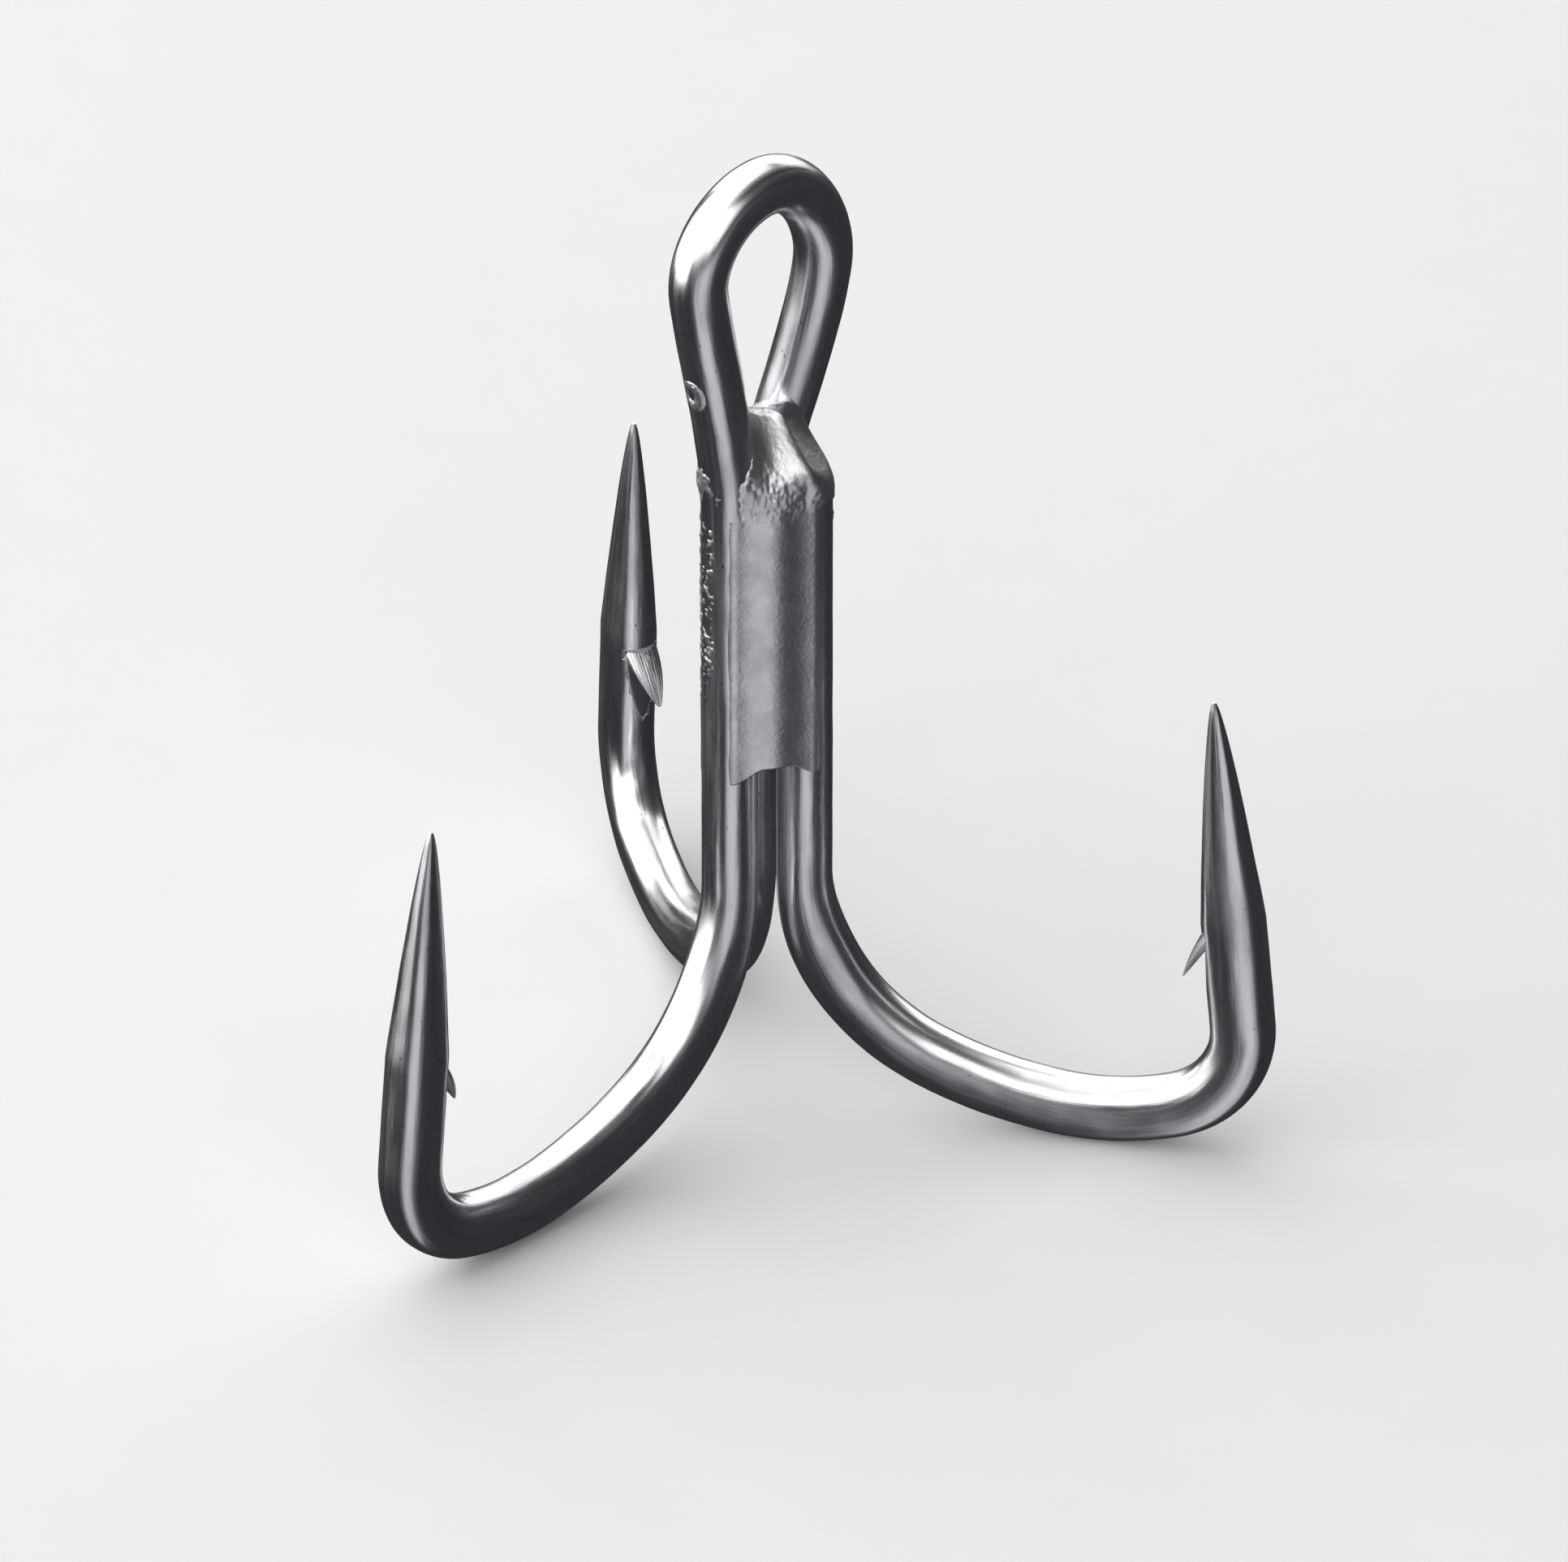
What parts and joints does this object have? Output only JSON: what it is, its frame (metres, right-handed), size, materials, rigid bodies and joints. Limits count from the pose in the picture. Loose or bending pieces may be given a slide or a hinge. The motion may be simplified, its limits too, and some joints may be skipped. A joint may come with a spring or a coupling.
{
  "type": "treble hook",
  "caption": "Barbed treble hook: a double hook bent from one wire with a line eye, and a single hook brazed between its shanks.",
  "frame": {"origin": "middle of the line eye, on the axis that the three shanks stand round", "axes": "+Z along the shanks towards the crown of the eye, +X from the shanks towards the single hook's point"},
  "size_m": [0.0272, 0.0295, 0.0362],
  "materials": {
    "plated_wire": "bright tin or nickel plate over high-carbon steel wire, fine draw lines",
    "braze_metal": "satin plated braze metal, grainy at its top end"
  },
  "bodies": {
    "root": {"double_hook_wire": "plated_wire", "single_hook_wire": "plated_wire", "braze_joint": "braze_metal"}
  },
  "joints": []
}
